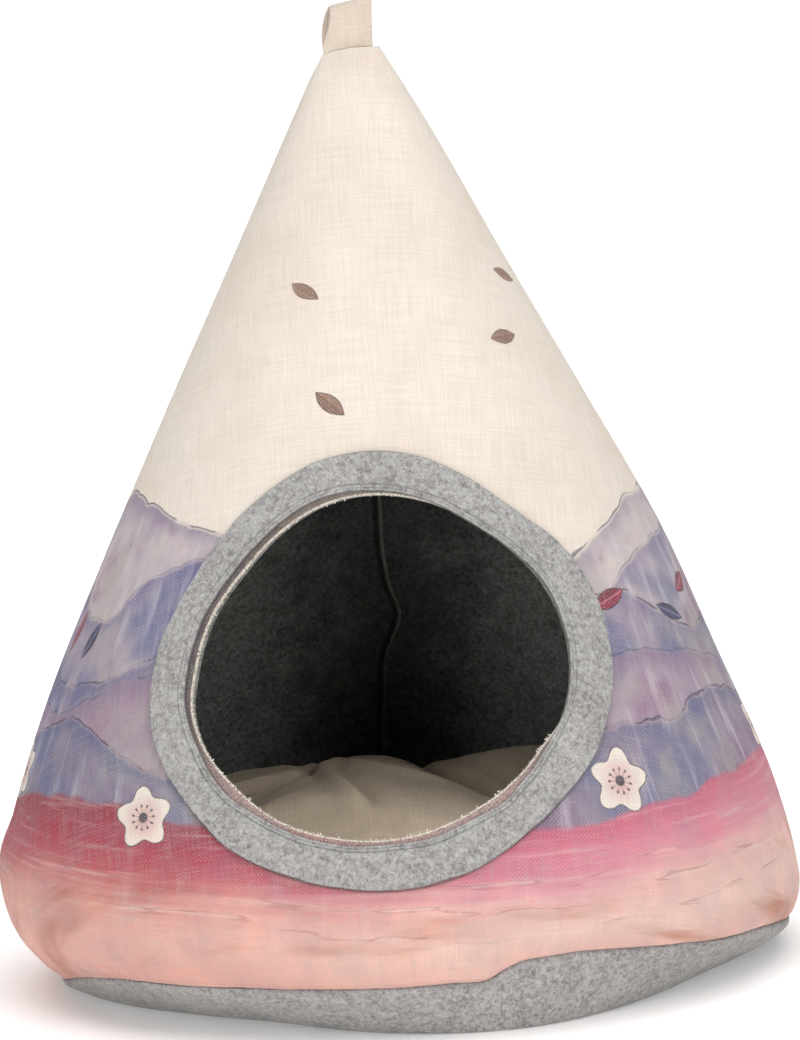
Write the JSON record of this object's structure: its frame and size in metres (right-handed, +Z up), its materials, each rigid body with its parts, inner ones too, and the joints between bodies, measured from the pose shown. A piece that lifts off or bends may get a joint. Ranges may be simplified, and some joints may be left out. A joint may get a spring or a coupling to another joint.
{
  "type": "cat teepee",
  "caption": "Cone-shaped cat house of printed linen-look cloth lined with grey felt, with a felt-banded round entrance, a shallow felt base, a loose cushion and a tape loop at the tip.",
  "frame": {"origin": "on the floor, under the middle of the part", "axes": "+Z up towards the tape loop, -Y out of the entrance, +X to the right seen from the front"},
  "size_m": [0.4022, 0.383, 0.488],
  "materials": {
    "printed_linen": "plain woven linen-look cloth with a soft watercolour print, matt",
    "lining_felt": "pressed grey felt, matt and slightly fuzzy",
    "grey_felt": "pressed mottled light grey felt, matt and slightly fuzzy",
    "cushion_linen": "plain natural linen-look cloth, soft and matt",
    "tape_linen": "plain cream linen-look tape, matt"
  },
  "bodies": {
    "root": {"cover": "printed_linen", "lining": "lining_felt", "entrance_band": "grey_felt", "base": "grey_felt", "cushion": "cushion_linen", "loop": "tape_linen"}
  },
  "joints": []
}
